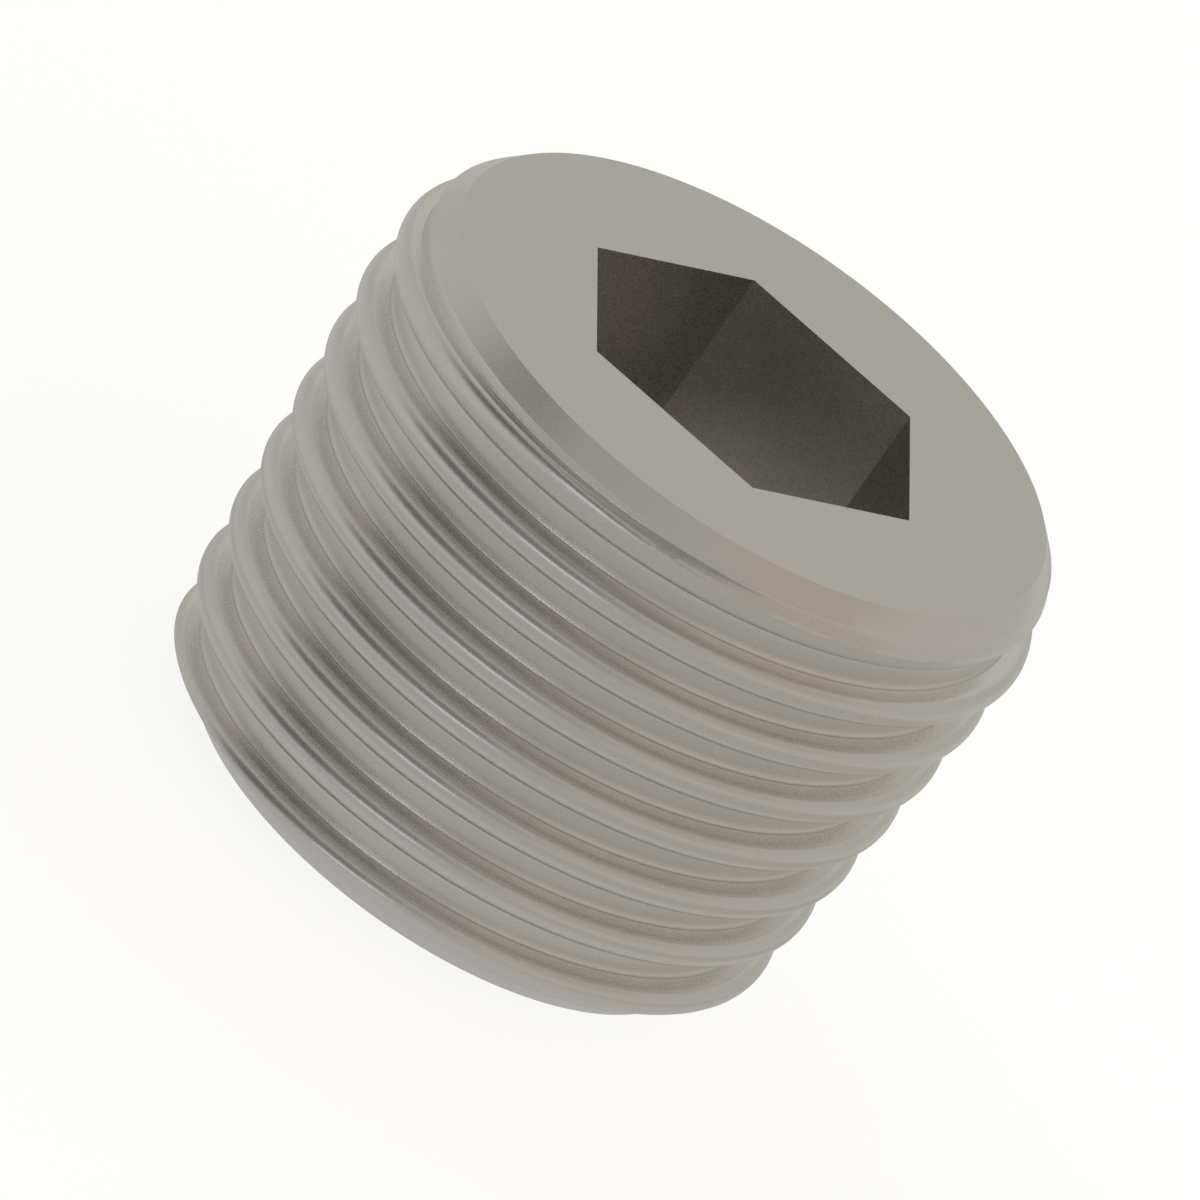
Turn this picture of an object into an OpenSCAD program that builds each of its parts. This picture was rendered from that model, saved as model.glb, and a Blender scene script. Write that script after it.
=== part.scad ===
// Orifice plug: a short tapered screw plug with a hex socket and a small drilled orifice.
// It stands on its small end, axis along +Z, with the middle of the small end at the origin.

/* [Body] */
// Overall length from the small end to the socket face
length = 7.94; // [7:0.02:9]
// Diameter of the body at the edge above the small end bevel
small_d = 8.59; // [8.2:0.02:8.9]
// Slope of the tapered side against the axis, in degrees
side_angle = 5.12; // [3:0.1:7]
// Height of the bevel round the socket face
bevel_large = 0.3; // [0.15:0.01:0.4]
// Width of the bevel round the socket face
bevel_large_w = 0.27; // [0.15:0.01:0.4]
// Width of the 45 degree bevel round the small end
bevel_small = 0.275; // [0.1:0.005:0.4]

/* [Thread] */
// Distance from one turn to the next
pitch = 0.958; // [0.85:0.002:1.1]
// Height of the thread above the body
ridge_h = 0.395; // [0.3:0.005:0.5]
// Radius of the rounded thread section
ridge_r = 0.235; // [0.18:0.005:0.3]
// Height of a crest above the small end, on the +X side
crest_z = 0.78; // [0.6:0.005:1]
// Height of the flat face that ends the thread at the small end
plain_end = 0.515; // [0.45:0.005:0.9]
// Depth below the socket face at which the thread begins to rise
start_depth = 0.22; // [0.1:0.001:0.8]
// Number of turns over which the thread rises to its full height
start_turns = 1.5; // [0.5:0.1:2]
// Length over which the thread dies away below the bevel
start_ease = 0.2; // [0.1:0.01:0.4]

/* [Socket] */
// Distance across the flats of the hex socket
socket_af = 5; // [4:0.1:5.6]
// Depth of the hex socket
socket_depth = 4; // [3:0.1:4.6]
// Full angle of the cone at the bottom of the socket
point_angle = 118; // [100:1:140]
// Diameter of the orifice through the small end
orifice_d = 1.2; // [0.5:0.05:2]

/* [Fineness] */
// Straight steps in each turn of the thread
turn_steps = 60; // [36:4:72]
// Steps across the rounded thread section
round_steps = 6; // [4:2:8]

/* [Hidden] */
steel = [0.66, 0.65, 0.62];
root_gap = 0.02;
spare = 0.3;
z_ring = length - bevel_large;
low_r = small_d / 2 - bevel_small;
high_r = small_d / 2 + tan(side_angle) * (z_ring - bevel_small) - bevel_large_w;
rise = ridge_h - ridge_r;
rows_turn = round_steps + 3;
first_turn = -ceil((crest_z - plain_end + ridge_r) / pitch) - 1;
last_turn = ceil((z_ring - crest_z + ridge_r) / pitch) + 1;
row_count = (last_turn - first_turn) * rows_turn;
z_hex = length - socket_depth;
drill_r = 0.49 * socket_af;
point_h = drill_r / tan(point_angle / 2);

// Radius of the plain body at a height
function body_r(z) = small_d / 2 + tan(side_angle) * (z - bevel_small);

// Share of the full thread height for a crest at a height
function grown(zc) =
    1 - pow(1 - max(0, min(1, (length - start_depth - zc) / (start_turns * pitch))), 2);

// Share of the thread height left just below the bevel
function eased(z) = max(0, min(1, (z_ring - z) / start_ease));

// Thread height at a distance from its crest line
function bump(d) = abs(d) < ridge_r ? rise + sqrt(ridge_r * ridge_r - d * d) : 0;

// Offset along the axis and height of one point of the thread section
function section_at(a) =
    a == 0 ? [-ridge_r - root_gap, 0] :
    a == rows_turn - 1 ? [ridge_r + root_gap, 0] :
    let (t = -88 + 176 * (a - 1) / round_steps)
    [ridge_r * sin(t), rise + ridge_r * cos(t)];

// One point of the threaded side: step i round the axis, row j along it
function side_at(i, j) =
    let (
        zc = crest_z + pitch * (first_turn + floor(j / rows_turn) + i / turn_steps),
        s = section_at(j % rows_turn),
        z_free = zc + s[0],
        z = max(plain_end, min(z_ring, z_free)),
        h = z_free < plain_end ? bump(plain_end - zc) : z_free > z_ring ? 0 : s[1]
    )
    around(i, body_r(z) + h * grown(zc) * eased(z), z);

function around(i, r, z) = [r * cos(360 * i / turn_steps), r * sin(360 * i / turn_steps), z];

// Number of the point at step i and row j, one turn up where the steps close
function spot(i, j) =
    i < turn_steps ? i * row_count + j : min(row_count - 1, j + rows_turn);

// Number of the point at step i of the plain ring k, with the edges of the side between
function ring_spot(k, i) =
    let (m = i % turn_steps)
    k == 2 ? m * row_count :
    k == 3 ? (m + 1) * row_count - 1 :
    turn_steps * (row_count + min(k, 2)) + m;

side_points = [
    for (i = [0:turn_steps - 1]) for (j = [0:row_count - 1]) side_at(i, j)
];
plain_rings = [
    [low_r - spare, -spare],
    [small_d / 2, bevel_small],
    [high_r - spare * bevel_large_w / bevel_large, length + spare]
];
ring_points = [
    for (p = plain_rings) for (i = [0:turn_steps - 1]) around(i, p[0], p[1])
];
all_points = concat(side_points, ring_points);

function apart(a, b) = norm(all_points[a] - all_points[b]) > 0.00001;

// The two triangles of a four-cornered patch, without those that have no area
function patch(a, b, c, d) = [
    for (t = [[a, b, c], [a, c, d]])
        if (apart(t[0], t[1]) && apart(t[1], t[2]) && apart(t[2], t[0])) t
];

side_faces = [
    for (i = [0:turn_steps - 1]) for (j = [0:row_count - 2])
        each patch(spot(i, j), spot(i, j + 1), spot(i + 1, j + 1), spot(i + 1, j))
];
ring_faces = [
    for (k = [0, 1, 3]) for (i = [0:turn_steps - 1])
        each patch(ring_spot(k, i), ring_spot(k + 1, i), ring_spot(k + 1, i + 1), ring_spot(k, i + 1))
];
end_faces = [
    [for (i = [0:turn_steps - 1]) ring_spot(0, i)],
    [for (i = [turn_steps - 1:-1:0]) ring_spot(4, i)]
];

// Tapered body with the thread and both bevels, left a little long at both ends
module threaded_body() {
    polyhedron(
        points = all_points,
        faces = concat(side_faces, ring_faces, end_faces),
        convexity = 10
    );
}

// Block that sets the two flat end faces
module end_block() {
    translate([-small_d, -small_d, 0])
        cube([2 * small_d, 2 * small_d, length]);
}

// Hex socket with the cone left by the drill
module socket() {
    translate([0, 0, z_hex])
        cylinder(r = socket_af / sqrt(3), h = socket_depth + 1, $fn = 6);
    rotate_extrude($fn = 64)
        polygon([
            [0, z_hex - point_h],
            [drill_r, z_hex],
            [drill_r, z_hex + 0.5],
            [0, z_hex + 0.5]
        ]);
}

// Orifice from the socket cone through the small end
module orifice() {
    translate([0, 0, -1])
        cylinder(d = orifice_d, h = z_hex + 1, $fn = 48);
}

// The whole plug, cut from one piece of steel
module plug() {
    color(steel)
        difference() {
            intersection() {
                threaded_body();
                end_block();
            }
            socket();
            orifice();
        }
}

plug();
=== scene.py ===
import math

import bmesh
import bpy
from mathutils import Euler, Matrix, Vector


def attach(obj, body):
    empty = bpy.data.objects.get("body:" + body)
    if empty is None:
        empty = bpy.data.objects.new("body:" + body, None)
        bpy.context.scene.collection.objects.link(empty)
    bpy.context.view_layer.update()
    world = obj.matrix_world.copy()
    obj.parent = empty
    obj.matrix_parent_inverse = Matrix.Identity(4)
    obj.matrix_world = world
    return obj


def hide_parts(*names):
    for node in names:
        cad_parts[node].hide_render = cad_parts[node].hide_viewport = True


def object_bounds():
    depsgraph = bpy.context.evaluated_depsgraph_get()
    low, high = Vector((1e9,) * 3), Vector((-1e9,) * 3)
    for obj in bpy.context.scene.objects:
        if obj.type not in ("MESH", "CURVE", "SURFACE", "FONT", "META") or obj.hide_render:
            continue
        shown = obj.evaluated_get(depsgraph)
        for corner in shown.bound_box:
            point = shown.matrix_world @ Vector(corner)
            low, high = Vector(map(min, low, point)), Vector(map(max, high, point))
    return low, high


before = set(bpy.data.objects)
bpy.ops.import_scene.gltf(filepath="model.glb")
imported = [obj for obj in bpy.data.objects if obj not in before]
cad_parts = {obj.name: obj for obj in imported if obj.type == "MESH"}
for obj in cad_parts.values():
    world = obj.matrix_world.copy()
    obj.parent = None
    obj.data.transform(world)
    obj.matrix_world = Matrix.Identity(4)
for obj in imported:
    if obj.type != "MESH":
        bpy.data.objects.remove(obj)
cad_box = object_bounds()


# The view: the plug lies tipped to the right in the picture, seen from a little above its
# socket face, with no perspective. The plug itself stands upright, so the camera is tipped.
SEEN_FROM_DEG = 13.75
SEEN_ABOVE_DEG = 24.67
TIPPED_DEG = 35.41
PICTURE_WIDTH = 0.016322
PICTURE_PIXELS = 1200
SOCKET_FACE_MIDDLE = Vector((0.0, 0.0, cad_box[1][2]))
SOCKET_FACE_PIXEL = (753.5, 384.0)
CAMERA_DISTANCE = 0.1


def toward(around_deg, above_deg):
    """Direction from the plug, turned from the front to the right and raised from level."""
    around, above = math.radians(around_deg), math.radians(above_deg)
    level = math.cos(above)
    return Vector((math.sin(around) * level, -math.cos(around) * level, math.sin(above)))


camera = bpy.data.objects.new("camera", bpy.data.cameras.new("camera"))
bpy.context.scene.collection.objects.link(camera)
bpy.context.scene.camera = camera
camera.data.type = "ORTHO"
camera.data.ortho_scale = PICTURE_WIDTH
camera.data.clip_start = 0.001
camera.data.clip_end = 2.0
to_camera = toward(SEEN_FROM_DEG, SEEN_ABOVE_DEG)
tip = Euler((0, 0, math.radians(TIPPED_DEG))).to_quaternion()
turn = to_camera.to_track_quat("Z", "Y") @ tip
camera.rotation_mode = "QUATERNION"
camera.rotation_quaternion = turn
per_pixel = PICTURE_WIDTH / PICTURE_PIXELS
picture_middle = (
    SOCKET_FACE_MIDDLE
    - turn @ Vector((1, 0, 0)) * (SOCKET_FACE_PIXEL[0] - PICTURE_PIXELS / 2) * per_pixel
    + turn @ Vector((0, 1, 0)) * (SOCKET_FACE_PIXEL[1] - PICTURE_PIXELS / 2) * per_pixel
)
camera.location = picture_middle + to_camera * CAMERA_DISTANCE


# The steel of the plug: bare stainless with a fine satin grain, as it leaves the machine and
# the tumbling drum. Painted shade makes the valleys of the thread a trace darker, painted light
# makes the steep flanks brighter, and the narrow fillets at their foot get painted shade and a
# lower roughness.
GRAIN_SCALE = 30000.0
GRAIN_RANGE = (0.3, 0.7)
DARK_GRAIN = (0.685, 0.667, 0.634)
LIGHT_GRAIN = (0.745, 0.726, 0.692)
GRAIN_ROUGHNESS = (0.25, 0.31)
FOOT_POLISH = 0.19
PIT_STRENGTH = 0.08
PIT_DEPTH = 0.00001
PAINTED_LIGHT_AND_SHADE = {"valley_painted_shade": 0.96, "flank_painted_light": 1.26, "foot_painted_shade_and_polish": 0.65}


def spread(tree, value, start, end, low=0.0, high=1.0, soft=False):
    """Value spread out so that it is low at start and high at end, and level beyond them."""
    node = tree.nodes.new("ShaderNodeMapRange")
    node.interpolation_type = "SMOOTHSTEP" if soft else "LINEAR"
    node.inputs["From Min"].default_value = start
    node.inputs["From Max"].default_value = end
    node.inputs["To Min"].default_value = low
    node.inputs["To Max"].default_value = high
    tree.links.new(value, node.inputs["Value"])
    return node.outputs["Result"]


def blend(tree, part, first, second):
    """The first colour, or the output of a node, turning into the second as part goes to 1."""
    node = tree.nodes.new("ShaderNodeMix")
    node.data_type = "RGBA"
    tree.links.new(part, node.inputs[0])
    if isinstance(first, tuple):
        node.inputs[6].default_value = (*first, 1)
    else:
        tree.links.new(first, node.inputs[6])
    node.inputs[7].default_value = (*second, 1)
    return node.outputs[2]


steel = bpy.data.materials.new("satin stainless")
steel.use_nodes = True
steel_tree = steel.node_tree
shader = steel_tree.nodes["Principled BSDF"]
shader.inputs["Metallic"].default_value = 1.0
where = steel_tree.nodes.new("ShaderNodeTexCoord")
noise = steel_tree.nodes.new("ShaderNodeTexNoise")
noise.inputs["Scale"].default_value = GRAIN_SCALE
noise.inputs["Detail"].default_value = 4.0
steel_tree.links.new(where.outputs["Object"], noise.inputs["Vector"])
grain = noise.outputs["Fac"]
colour = blend(steel_tree, spread(steel_tree, grain, *GRAIN_RANGE), DARK_GRAIN, LIGHT_GRAIN)
marks = {}
# Painted light and shade: each mark scales the steel's colour, down in the valleys and the feet, up
# on the flanks.
for name, painted_brightness in PAINTED_LIGHT_AND_SHADE.items():
    mark = steel_tree.nodes.new("ShaderNodeAttribute")
    mark.attribute_name = name
    marks[name] = mark.outputs["Fac"]
    scaled = steel_tree.nodes.new("ShaderNodeVectorMath")
    scaled.operation = "SCALE"
    steel_tree.links.new(colour, scaled.inputs[0])
    painted_factor = spread(steel_tree, marks[name], 0.0, 1.0, 1.0, painted_brightness)
    steel_tree.links.new(painted_factor, scaled.inputs["Scale"])
    colour = scaled.outputs["Vector"]
steel_tree.links.new(colour, shader.inputs["Base Color"])
polished = steel_tree.nodes.new("ShaderNodeMath")
polished.operation = "MULTIPLY_ADD"
steel_tree.links.new(marks["foot_painted_shade_and_polish"], polished.inputs[0])
polished.inputs[1].default_value = -FOOT_POLISH
roughness = spread(steel_tree, grain, *GRAIN_RANGE, *GRAIN_ROUGHNESS)
steel_tree.links.new(roughness, polished.inputs[2])
steel_tree.links.new(polished.outputs[0], shader.inputs["Roughness"])
pits = steel_tree.nodes.new("ShaderNodeBump")
pits.inputs["Strength"].default_value = PIT_STRENGTH
pits.inputs["Distance"].default_value = PIT_DEPTH
steel_tree.links.new(grain, pits.inputs["Height"])
steel_tree.links.new(pits.outputs["Normal"], shader.inputs["Normal"])


# The blank of the plug: a short tapered slug of stainless, turned with a bevel at each end,
# drilled through with a small orifice and broached with a hex socket. Its side is left open
# here from the plain end up to the bevel of the socket face, where the thread closes it.
STEPS_ROUND = 360
LENGTH = 0.00794
SMALL_RADIUS = 0.004295
SIDE_SLOPE = math.tan(math.radians(5.12))
LARGE_BEVEL = 0.0003
LARGE_BEVEL_WIDTH = 0.00027
SMALL_BEVEL = 0.000275
PLAIN_END = 0.000515
SOCKET_FLATS = 0.005
SOCKET_DEPTH = 0.004
DRILL_RADIUS = 0.49 * SOCKET_FLATS
DRILL_POINT_DEG = 118
ORIFICE_RADIUS = 0.0006
edge_z = LENGTH - LARGE_BEVEL
edge_r = SMALL_RADIUS + SIDE_SLOPE * (edge_z - SMALL_BEVEL)
socket_z = LENGTH - SOCKET_DEPTH
point_depth = (DRILL_RADIUS - ORIFICE_RADIUS) / math.tan(math.radians(DRILL_POINT_DEG / 2))


def ring(mesh, radius, z, hexagon=False):
    """One closed row of points round the axis, on a circle or on a hexagon."""
    points = []
    for i in range(STEPS_ROUND):
        a = 2 * math.pi * i / STEPS_ROUND
        r = radius
        if hexagon:
            r = radius / math.cos((a % (math.pi / 3)) - math.pi / 6)
        points.append(mesh.verts.new((r * math.cos(a), r * math.sin(a), z)))
    return points


blank = bmesh.new()
rings = [
    ring(blank, SMALL_RADIUS + SIDE_SLOPE * (PLAIN_END - SMALL_BEVEL), PLAIN_END),
    ring(blank, SMALL_RADIUS, SMALL_BEVEL),
    ring(blank, SMALL_RADIUS - SMALL_BEVEL, 0),
    ring(blank, ORIFICE_RADIUS, 0),
    ring(blank, ORIFICE_RADIUS, socket_z - point_depth),
    ring(blank, DRILL_RADIUS, socket_z),
    ring(blank, SOCKET_FLATS / 2, socket_z, hexagon=True),
    ring(blank, SOCKET_FLATS / 2, LENGTH, hexagon=True),
    ring(blank, edge_r - LARGE_BEVEL_WIDTH, LENGTH),
    ring(blank, edge_r, edge_z),
]
for first, second in zip(rings, rings[1:]):
    for i in range(STEPS_ROUND):
        n = (i + 1) % STEPS_ROUND
        blank.faces.new((first[i], second[i], second[n], first[n]))
blank_mesh = bpy.data.meshes.new("plug")
blank.to_mesh(blank_mesh)
blank.free()
plug = bpy.data.objects.new("plug_body", blank_mesh)
bpy.context.scene.collection.objects.link(plug)


# The thread: one right-hand ridge with a round crest that is cut into the tapered side of the
# plug for eight turns. It fades in below the socket face, has a small fillet along each foot,
# and is cut off flat above the small end.
THREAD_SIZES = {
    "Length": LENGTH,
    "Small radius": SMALL_RADIUS,
    "Side slope": SIDE_SLOPE,
    "Large bevel": LARGE_BEVEL,
    "Small bevel": SMALL_BEVEL,
    "Plain end": PLAIN_END,
    "Pitch": 0.000958,
    "Ridge height": 0.000395,
    "Ridge radius": 0.000235,
    "Root gap": 0.00002,
    "Root fillet": 0.00003,
    "Crest height": 0.00078,
    "First turn": -2.0,
    "Turns": 11.0,
    "Steps round": float(STEPS_ROUND),
    "Steps over ridge": 14.0,
    "Steps between": 3.0,
    "Steps in fillet": 4.0,
    "Start depth": 0.00022,
    "Start turns": 1.5,
    "Start ease": 0.0002,
    "Valley mark ease": 0.0002,
    "Flank mark start": 0.88,
    "Flank mark fade": 0.125,
}
RIDGE_HALF_SWEEP = math.radians(88)
WELD_DISTANCE = 3e-7
SHARP_EDGE_DEG = 32

thread = bpy.data.node_groups.new("rounded thread", "GeometryNodeTree")
thread.interface.new_socket("Blank", in_out="INPUT", socket_type="NodeSocketGeometry")
for name in THREAD_SIZES:
    thread.interface.new_socket(name, in_out="INPUT", socket_type="NodeSocketFloat")
thread.interface.new_socket("Steel", in_out="INPUT", socket_type="NodeSocketMaterial")
thread.interface.new_socket("Plug", in_out="OUTPUT", socket_type="NodeSocketGeometry")
given = thread.nodes.new("NodeGroupInput").outputs
result = thread.nodes.new("NodeGroupOutput")


def sum_of(operation, *values):
    """The output of one Math node of the thread's tree."""
    node = thread.nodes.new("ShaderNodeMath")
    node.operation = operation
    for i, value in enumerate(values):
        if isinstance(value, (int, float)):
            node.inputs[i].default_value = value
        else:
            thread.links.new(value, node.inputs[i])
    return node.outputs[0]


def add(a, b):
    return sum_of("ADD", a, b)


def less(a, b):
    return sum_of("SUBTRACT", a, b)


def times(a, b):
    return sum_of("MULTIPLY", a, b)


def over(a, b):
    return sum_of("DIVIDE", a, b)


def is_above(a, b):
    return sum_of("GREATER_THAN", a, b)


def is_below(a, b):
    return sum_of("LESS_THAN", a, b)


def higher(a, b):
    return sum_of("MAXIMUM", a, b)


def lower(a, b):
    return sum_of("MINIMUM", a, b)


def either(test, yes, no):
    """yes where test is 1, no where it is 0."""
    return add(no, times(test, less(yes, no)))


def share(a):
    """a kept between 0 and 1."""
    return lower(higher(a, 0.0), 1.0)


# A flat sheet of points, one column for each step round the axis and a set of rows for each
# turn, is numbered first: step counts the rows of a turn from the lower fillet upwards.
ridge_rows = add(given["Steps over ridge"], 1.0)
fillet_rows = add(given["Steps in fillet"], 1.0)
rows_turn = add(add(ridge_rows, given["Steps between"]), times(2.0, fillet_rows))
rows = times(rows_turn, given["Turns"])
sheet = thread.nodes.new("GeometryNodeMeshGrid")
sheet.inputs["Size X"].default_value = 1.0
sheet.inputs["Size Y"].default_value = 1.0
thread.links.new(add(given["Steps round"], 1.0), sheet.inputs["Vertices X"])
thread.links.new(rows, sheet.inputs["Vertices Y"])
spot = thread.nodes.new("GeometryNodeInputPosition")
apart = thread.nodes.new("ShaderNodeSeparateXYZ")
thread.links.new(spot.outputs[0], apart.inputs[0])
column = sum_of("ROUND", times(add(apart.outputs["X"], 0.5), given["Steps round"]))
row = sum_of("ROUND", times(add(apart.outputs["Y"], 0.5), less(rows, 1.0)))
turn_part = over(column, given["Steps round"])
turn_number = sum_of("FLOOR", over(add(row, 0.5), rows_turn))
step = less(row, times(turn_number, rows_turn))
turns_up = add(add(given["First turn"], turn_number), turn_part)
crest_z = add(given["Crest height"], times(given["Pitch"], turns_up))

# The section of the thread: a round ridge, a fillet on each side of it, then the valley.
half_ridge_steps = times(0.5, given["Steps over ridge"])
from_crest = less(less(step, fillet_rows), half_ridge_steps)
side_sign = sum_of("SIGN", from_crest)
from_crest = sum_of("ABSOLUTE", from_crest)
past_ridge = less(from_crest, half_ridge_steps)
past_fillet = less(past_ridge, fillet_rows)
on_ridge = is_below(past_ridge, 0.5)
on_valley = is_above(past_fillet, 0.5)
lean = times(from_crest, over(2 * RIDGE_HALF_SWEEP, given["Steps over ridge"]))
curve = times(less(past_ridge, 1.0), over(math.pi / 2, given["Steps in fillet"]))
valley_start = add(add(given["Ridge radius"], given["Root gap"]), given["Root fillet"])
valley_width = less(given["Pitch"], times(2.0, valley_start))
valley_step = over(valley_width, add(given["Steps between"], 1.0))
fillet_offset = less(valley_start, times(given["Root fillet"], sum_of("COSINE", curve)))
valley_offset = add(valley_start, times(valley_step, past_fillet))
ridge_offset = times(given["Ridge radius"], sum_of("SINE", lean))
offset = either(on_ridge, ridge_offset, either(on_valley, valley_offset, fillet_offset))
offset = times(side_sign, offset)
rise = less(given["Ridge height"], given["Ridge radius"])
ridge_height = add(rise, times(given["Ridge radius"], sum_of("COSINE", lean)))
fillet_height = times(given["Root fillet"], less(1.0, sum_of("SINE", curve)))
height = either(on_ridge, ridge_height, times(less(1.0, on_valley), fillet_height))

# The thread is cut off flat at the plain end and stops at the bevel of the socket face.
free_z = add(crest_z, offset)
bevel_z = less(given["Length"], given["Large bevel"])
z = higher(given["Plain end"], lower(bevel_z, free_z))
to_crest = less(given["Plain end"], crest_z)
inside = less(times(given["Ridge radius"], given["Ridge radius"]), times(to_crest, to_crest))
cut_height = times(is_above(inside, 0.0), add(rise, sum_of("SQRT", higher(inside, 0.0))))
height = either(is_below(free_z, given["Plain end"]), cut_height, height)
height = times(height, is_below(free_z, bevel_z))

# It grows to its full height over the first turns and dies away just below that bevel.
below_start = less(less(given["Length"], given["Start depth"]), crest_z)
missing = less(1.0, share(over(below_start, times(given["Start turns"], given["Pitch"]))))
eased = share(over(less(bevel_z, z), given["Start ease"]))
grown = times(less(1.0, times(missing, missing)), eased)

# The marks that the steel reads: painted shade in the valleys, painted light on the steep flanks, and
# painted shade with a lower roughness in the fillets at their feet.
above_cut = times(grown, is_above(free_z, given["Plain end"]))
above_end = share(over(less(z, given["Plain end"]), given["Valley mark ease"]))
# Painted shade: this mark darkens the steel where the ridge is low.
valley_painted_shade = times(
    less(1.0, times(grown, over(height, given["Ridge height"]))), times(eased, above_end)
)
# Painted light: this mark brightens the steel on the steep sides of the ridge.
steep = less(over(sum_of("ABSOLUTE", offset), given["Ridge radius"]), given["Flank mark start"])
flank_painted_light = times(
    share(over(steep, given["Flank mark fade"])), times(less(1.0, on_valley), above_cut)
)
# Painted shade: this mark darkens the root fillets, and it also lowers their roughness.
foot_painted_shade_and_polish = times(times(is_above(past_ridge, 1.5), is_below(past_fillet, -0.5)), above_cut)
marked = sheet
for name, value in (("valley_painted_shade", valley_painted_shade), ("flank_painted_light", flank_painted_light), ("foot_painted_shade_and_polish", foot_painted_shade_and_polish)):
    mark = thread.nodes.new("GeometryNodeStoreNamedAttribute")
    mark.data_type = "FLOAT"
    mark.domain = "POINT"
    mark.inputs["Name"].default_value = name
    thread.links.new(marked.outputs[0], mark.inputs["Geometry"])
    thread.links.new(value, mark.inputs["Value"])
    marked = mark

# The sheet is rolled round the axis and welded to the blank.
side_r = add(given["Small radius"], times(given["Side slope"], less(z, given["Small bevel"])))
reach = add(side_r, times(height, grown))
angle = times(turn_part, 2 * math.pi)
point = thread.nodes.new("ShaderNodeCombineXYZ")
thread.links.new(times(reach, sum_of("COSINE", angle)), point.inputs["X"])
thread.links.new(times(reach, sum_of("SINE", angle)), point.inputs["Y"])
thread.links.new(z, point.inputs["Z"])
placed = thread.nodes.new("GeometryNodeSetPosition")
thread.links.new(marked.outputs[0], placed.inputs["Geometry"])
thread.links.new(point.outputs[0], placed.inputs["Position"])
joined = thread.nodes.new("GeometryNodeJoinGeometry")
thread.links.new(placed.outputs[0], joined.inputs[0])
thread.links.new(given["Blank"], joined.inputs[0])
welded = thread.nodes.new("GeometryNodeMergeByDistance")
welded.inputs["Distance"].default_value = WELD_DISTANCE
thread.links.new(joined.outputs[0], welded.inputs["Geometry"])
smooth = thread.nodes.new("GeometryNodeSetShadeSmooth")
thread.links.new(welded.outputs[0], smooth.inputs["Geometry"])
real = thread.nodes.new("GeometryNodeRealizeInstances")
thread.links.new(smooth.outputs[0], real.inputs[0])
finished = thread.nodes.new("GeometryNodeSetMaterial")
thread.links.new(real.outputs[0], finished.inputs["Geometry"])
thread.links.new(given["Steel"], finished.inputs["Material"])
thread.links.new(finished.outputs[0], result.inputs["Plug"])

cutting = plug.modifiers.new("thread", "NODES")
cutting.node_group = thread
for item in thread.interface.items_tree:
    if item.in_out == "INPUT" and item.name in THREAD_SIZES:
        cutting[item.identifier] = THREAD_SIZES[item.name]
    if item.in_out == "INPUT" and item.name == "Steel":
        cutting[item.identifier] = steel
plug.update_tag()
seen = plug.evaluated_get(bpy.context.evaluated_depsgraph_get())
threaded = bpy.data.meshes.new_from_object(seen)
plug.modifiers.remove(cutting)
plug.data = threaded
solid = bmesh.new()
solid.from_mesh(threaded)
bmesh.ops.dissolve_degenerate(solid, dist=1e-7, edges=solid.edges)
bmesh.ops.recalc_face_normals(solid, faces=solid.faces)
if solid.calc_volume(signed=True) < 0:
    bmesh.ops.reverse_faces(solid, faces=solid.faces)
solid.to_mesh(threaded)
solid.free()
threaded.set_sharp_from_angle(angle=math.radians(SHARP_EDGE_DEG))
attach(plug, "root")
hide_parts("plug")


# The floor: a plain white sheet under the plug, wide enough to fill every view. The camera
# sees it white with the plug's soft shadow, and the steel mirrors it as a pale grey that is
# a little lighter near the plug, behind it and to its left.
FLOOR_HALF = 0.6
FLOOR_Z = -0.00002
PAPER_GREY = 0.6
PAPER_GLOW = 0.75
FLOOR_GREY = (0.458, 0.449, 0.441)
NEAR_GREY = (0.525, 0.52, 0.515)
BEHIND_GREY = (0.57, 0.555, 0.535)
LEFT_GREY = (0.56, 0.555, 0.545)


def shown(tree, mirrored, seen):
    """A shader for the tree's output, the camera's own or the one that the steel mirrors."""
    rays = tree.nodes.new("ShaderNodeLightPath")
    choice = tree.nodes.new("ShaderNodeMixShader")
    tree.links.new(rays.outputs["Is Camera Ray"], choice.inputs[0])
    tree.links.new(mirrored.outputs[0], choice.inputs[1])
    tree.links.new(seen.outputs[0], choice.inputs[2])
    return choice.outputs[0]


floor_mesh = bpy.data.meshes.new("floor")
corners = [
    (-FLOOR_HALF, -FLOOR_HALF, FLOOR_Z),
    (FLOOR_HALF, -FLOOR_HALF, FLOOR_Z),
    (FLOOR_HALF, FLOOR_HALF, FLOOR_Z),
    (-FLOOR_HALF, FLOOR_HALF, FLOOR_Z),
]
floor_mesh.from_pydata(corners, [], [(0, 1, 2, 3)])
floor = bpy.data.objects.new("floor", floor_mesh)
bpy.context.scene.collection.objects.link(floor)
paper = bpy.data.materials.new("white paper")
paper.use_nodes = True
paper_tree = paper.node_tree
matt = paper_tree.nodes["Principled BSDF"]
matt.inputs["Base Color"].default_value = (PAPER_GREY, PAPER_GREY, PAPER_GREY, 1)
matt.inputs["Roughness"].default_value = 1.0
matt.inputs["Specular IOR Level"].default_value = 0.0
matt.inputs["Emission Color"].default_value = (1, 1, 1, 1)
matt.inputs["Emission Strength"].default_value = PAPER_GLOW
across = paper_tree.nodes.new("ShaderNodeTexCoord")
along = paper_tree.nodes.new("ShaderNodeSeparateXYZ")
paper_tree.links.new(across.outputs["Object"], along.inputs[0])
distance = paper_tree.nodes.new("ShaderNodeVectorMath")
distance.operation = "LENGTH"
paper_tree.links.new(across.outputs["Object"], distance.inputs[0])
grey = FLOOR_GREY
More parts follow.
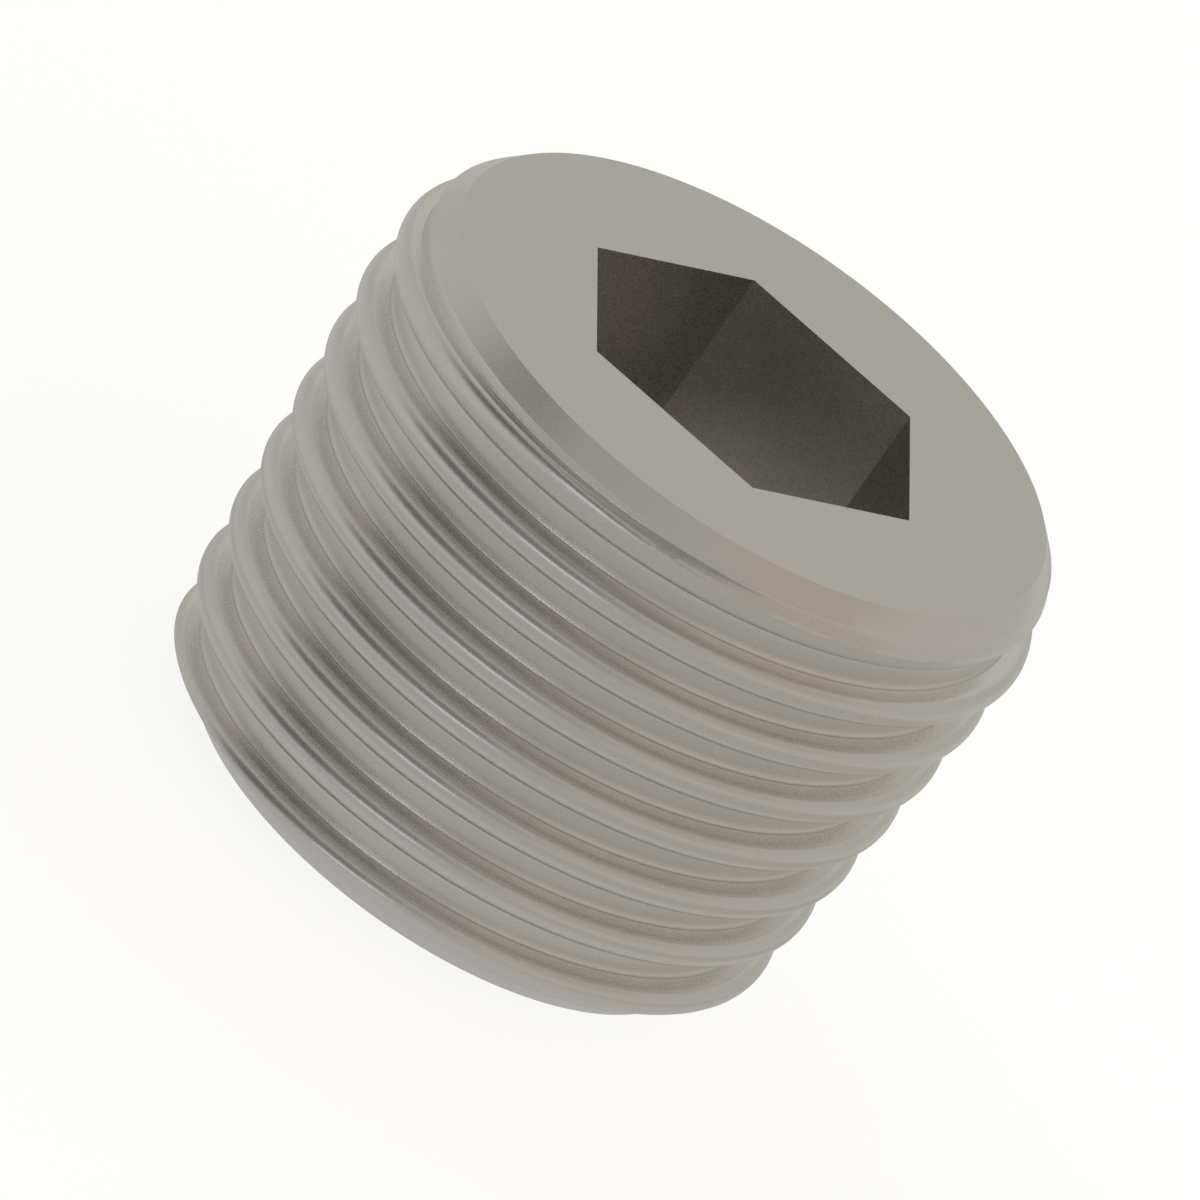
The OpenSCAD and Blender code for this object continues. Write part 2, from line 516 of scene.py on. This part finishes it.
for place, start, end, zone_grey in (
    (distance.outputs["Value"], 0.009, 0.006, NEAR_GREY),
    (along.outputs["Y"], 0.005, 0.012, BEHIND_GREY),
    (along.outputs["X"], -0.007, -0.014, LEFT_GREY),
):
    zone = spread(paper_tree, place, start, end, soft=True)
    grey = blend(paper_tree, zone, grey, zone_grey)
pale = paper_tree.nodes.new("ShaderNodeEmission")
pale.inputs["Strength"].default_value = 1.0
paper_tree.links.new(grey, pale.inputs["Color"])
surface = paper_tree.nodes["Material Output"].inputs["Surface"]
paper_tree.links.new(shown(paper_tree, pale, matt), surface)
floor_mesh.materials.append(paper)


# The light: an even pale room, with its lighter walls behind and at the sides, a warm shelf
# high on the right, and dark openings above and in front that draw the dark bands along the
# thread. One weak lamp low in front draws the thin bright lines beside them.
ROOM_GREY = (0.498, 0.479, 0.464)
WALLS = {
    "back wall": ((-0.22, 0.88, 0.42), 0.3, 0.9, (0.523, 0.518, 0.494)),
    "right wall": ((0.97, 0.24, 0.10), 0.2, 0.9, (0.54, 0.523, 0.494)),
    "warm shelf": ((0.67, -0.05, 0.74), 0.86, 0.985, (0.50, 0.440, 0.395)),
    "ceiling": ((0.0, 0.0, 1.0), 0.866, 0.99, (0.25, 0.24, 0.235)),
    "dim front": ((0.22, -0.88, 0.42), 0.82, 0.98, (0.40, 0.385, 0.375)),
    "dark corner": ((-0.66, -0.59, 0.47), 0.86, 0.985, (0.13, 0.125, 0.123)),
    "dark opening": ((-0.21, -0.86, 0.47), 0.86, 0.99, (0.20, 0.192, 0.188)),
    "left window": ((-0.99, 0.10, 0.05), 0.80, 0.97, (0.56, 0.555, 0.545)),
}
LAMP_WIDTH = 0.06
LAMP_HEIGHT = 0.006
LAMP_DISTANCE = 0.12
LAMP_AROUND_DEG = -3.0
LAMP_ABOVE_DEG = 8.0
LAMP_POWER = 0.0028
LAMP_COLOUR = (0.90, 0.93, 1.0)

world = bpy.data.worlds.new("pale room")
bpy.context.scene.world = world
world.use_nodes = True
room_tree = world.node_tree
looking = room_tree.nodes.new("ShaderNodeTexCoord")
grey = ROOM_GREY
for middle, edge, core, wall_grey in WALLS.values():
    facing = room_tree.nodes.new("ShaderNodeVectorMath")
    facing.operation = "DOT_PRODUCT"
    facing.inputs[1].default_value = Vector(middle).normalized()
    room_tree.links.new(looking.outputs["Generated"], facing.inputs[0])
    wall = spread(room_tree, facing.outputs["Value"], edge, core, soft=True)
    grey = blend(room_tree, wall, grey, wall_grey)
walls = room_tree.nodes["Background"]
walls.inputs["Strength"].default_value = 1.0
room_tree.links.new(grey, walls.inputs["Color"])
white = room_tree.nodes.new("ShaderNodeBackground")
white.inputs["Color"].default_value = (1, 1, 1, 1)
white.inputs["Strength"].default_value = 1.0
room_tree.links.new(shown(room_tree, walls, white), room_tree.nodes["World Output"].inputs["Surface"])

lamp = bpy.data.objects.new("low strip lamp", bpy.data.lights.new("low strip lamp", "AREA"))
bpy.context.scene.collection.objects.link(lamp)
lamp.data.shape = "RECTANGLE"
lamp.data.size = LAMP_WIDTH
lamp.data.size_y = LAMP_HEIGHT
lamp.data.energy = LAMP_POWER
lamp.data.color = LAMP_COLOUR
to_lamp = toward(LAMP_AROUND_DEG, LAMP_ABOVE_DEG)
lamp.location = to_lamp * LAMP_DISTANCE
lamp.rotation_mode = "QUATERNION"
lamp.rotation_quaternion = to_lamp.to_track_quat("Z", "Y")

bpy.context.scene.view_settings.view_transform = "Standard"
